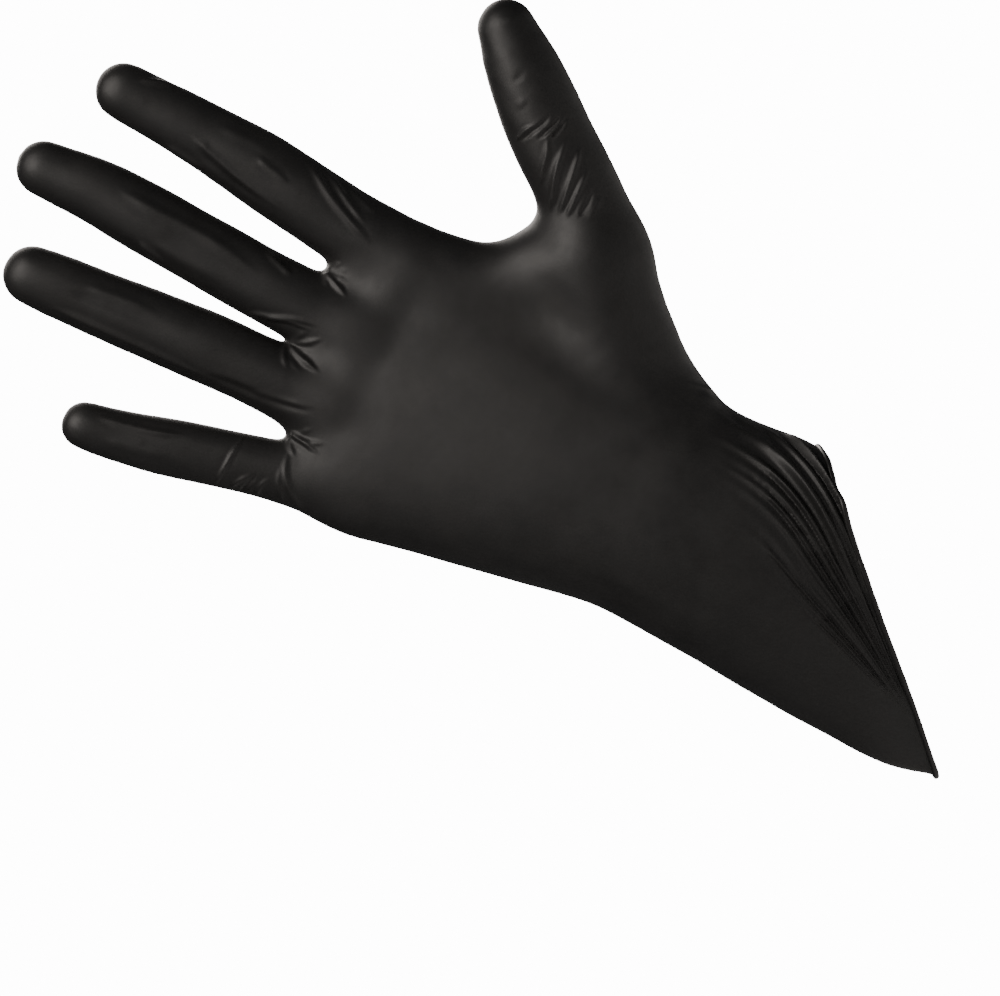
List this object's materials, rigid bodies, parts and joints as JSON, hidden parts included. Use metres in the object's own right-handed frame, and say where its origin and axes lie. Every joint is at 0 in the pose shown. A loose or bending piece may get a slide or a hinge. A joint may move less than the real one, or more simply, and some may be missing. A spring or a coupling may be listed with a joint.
{
  "type": "disposable glove",
  "caption": "Thin dipped disposable glove in the shape of a spread right hand, with finger stalls that bend, a loose cuff drawn out at one side and a rolled bead.",
  "frame": {"origin": "on the arm's axis, just inside the cuff's mouth, half way between the palm side and the back", "axes": "+Z from the wrist towards the fingertips, +X towards the thumb, -Y out of the palm; it is a right-hand shape"},
  "size_m": [0.1503, 0.0396, 0.2767],
  "materials": {
    "film": "satin black nitrile film",
    "bead": "satin black nitrile, rolled and so thicker"
  },
  "bodies": {
    "cuff": {"cuff": "film", "cuff_bead": "bead", "wrist_fold": "film"},
    "palm": {"palm": "film", "index_root_fold": "film", "middle_root_fold": "film", "ring_root_fold": "film", "little_root_fold": "film", "thumb_root_fold": "film"},
    "index_proximal": {"index_proximal_stall": "film", "index_mid_fold": "film"},
    "index_middle": {"index_middle_stall": "film", "index_tip_fold": "film"},
    "index_tip": {"index_fingertip": "film"},
    "middle_proximal": {"middle_proximal_stall": "film", "middle_mid_fold": "film"},
    "middle_middle": {"middle_middle_stall": "film", "middle_tip_fold": "film"},
    "middle_tip": {"middle_fingertip": "film"},
    "ring_proximal": {"ring_proximal_stall": "film", "ring_mid_fold": "film"},
    "ring_middle": {"ring_middle_stall": "film", "ring_tip_fold": "film"},
    "ring_tip": {"ring_fingertip": "film"},
    "little_proximal": {"little_proximal_stall": "film", "little_mid_fold": "film"},
    "little_middle": {"little_middle_stall": "film", "little_tip_fold": "film"},
    "little_tip": {"little_fingertip": "film"},
    "thumb_base": {"thumb_base_stall": "film", "thumb_tip_fold": "film"},
    "thumb_tip": {"thumb_fingertip": "film"}
  },
  "joints": [
    {"name": "wrist_flexion", "type": "hinge", "parent": "cuff", "child": "palm", "pos_m": [0, 0, 0.057], "axis": [1, 0, 0], "range_deg": [-40, 40], "stiffness_Nm_per_rad": 0.08, "deforming": ["wrist_fold"]},
    {"name": "index_root_bend", "type": "hinge", "parent": "palm", "child": "index_proximal", "pos_m": [0.019, 0, 0.165], "axis": [1, 0, 0], "range_deg": [-10, 65], "stiffness_Nm_per_rad": 0.004, "deforming": ["index_root_fold"]},
    {"name": "index_mid_bend", "type": "hinge", "parent": "index_proximal", "child": "index_middle", "pos_m": [0.0208, -0.0005, 0.186], "axis": [0.9981, 0, -0.0618], "range_deg": [0, 75], "stiffness_Nm_per_rad": 0.001, "deforming": ["index_mid_fold"]},
    {"name": "index_tip_bend", "type": "hinge", "parent": "index_middle", "child": "index_tip", "pos_m": [0.0216, -0.0015, 0.207], "axis": [0.9996, 0, -0.0282], "range_deg": [0, 50], "deforming": ["index_tip_fold"]},
    {"name": "middle_root_bend", "type": "hinge", "parent": "palm", "child": "middle_proximal", "pos_m": [-0.0043, 0, 0.165], "axis": [1, 0, 0], "range_deg": [-10, 65], "stiffness_Nm_per_rad": 0.004, "deforming": ["middle_root_fold"]},
    {"name": "middle_mid_bend", "type": "hinge", "parent": "middle_proximal", "child": "middle_middle", "pos_m": [-0.0042, -0.0005, 0.188], "axis": [1, 0, -0.0085], "range_deg": [0, 75], "stiffness_Nm_per_rad": 0.001, "deforming": ["middle_mid_fold"]},
    {"name": "middle_tip_bend", "type": "hinge", "parent": "middle_middle", "child": "middle_tip", "pos_m": [-0.0039, -0.0015, 0.212], "axis": [1, 0, 0.0098], "range_deg": [0, 50], "deforming": ["middle_tip_fold"]},
    {"name": "ring_root_bend", "type": "hinge", "parent": "palm", "child": "ring_proximal", "pos_m": [-0.0242, 0, 0.164], "axis": [1, 0, 0], "range_deg": [-10, 65], "stiffness_Nm_per_rad": 0.004, "deforming": ["ring_root_fold"]},
    {"name": "ring_mid_bend", "type": "hinge", "parent": "ring_proximal", "child": "ring_middle", "pos_m": [-0.0264, -0.0005, 0.185], "axis": [0.9941, 0, 0.1089], "range_deg": [0, 75], "stiffness_Nm_per_rad": 0.001, "deforming": ["ring_mid_fold"]},
    {"name": "ring_tip_bend", "type": "hinge", "parent": "ring_middle", "child": "ring_tip", "pos_m": [-0.0288, -0.0015, 0.206], "axis": [0.9946, 0, 0.1038], "range_deg": [0, 50], "deforming": ["ring_tip_fold"]},
    {"name": "little_root_bend", "type": "hinge", "parent": "palm", "child": "little_proximal", "pos_m": [-0.0466, 0, 0.1535], "axis": [1, 0, 0], "range_deg": [-10, 65], "stiffness_Nm_per_rad": 0.004, "deforming": ["little_root_fold"]},
    {"name": "little_mid_bend", "type": "hinge", "parent": "little_proximal", "child": "little_middle", "pos_m": [-0.0516, -0.0005, 0.1705], "axis": [0.9618, 0, 0.2739], "range_deg": [0, 75], "stiffness_Nm_per_rad": 0.001, "deforming": ["little_mid_fold"]},
    {"name": "little_tip_bend", "type": "hinge", "parent": "little_middle", "child": "little_tip", "pos_m": [-0.055, -0.0015, 0.183], "axis": [0.965, 0, 0.2623], "range_deg": [0, 50], "deforming": ["little_tip_fold"]},
    {"name": "thumb_root_bend", "type": "hinge", "parent": "palm", "child": "thumb_base", "pos_m": [0.0565, -0.007, 0.114], "axis": [0.6133, -0.6428, -0.459], "range_deg": [-10, 25], "stiffness_Nm_per_rad": 0.005, "deforming": ["thumb_root_fold"]},
    {"name": "thumb_tip_bend", "type": "hinge", "parent": "thumb_base", "child": "thumb_tip", "pos_m": [0.064, -0.008, 0.124], "axis": [0.7423, -0.3746, -0.5555], "range_deg": [0, 60], "stiffness_Nm_per_rad": 0.002, "deforming": ["thumb_tip_fold"]}
  ],
  "couplings": [
    {"joint": "index_tip_bend", "follows": "index_mid_bend", "ratio": 0.66667},
    {"joint": "middle_tip_bend", "follows": "middle_mid_bend", "ratio": 0.66667},
    {"joint": "ring_tip_bend", "follows": "ring_mid_bend", "ratio": 0.66667},
    {"joint": "little_tip_bend", "follows": "little_mid_bend", "ratio": 0.66667}
  ]
}
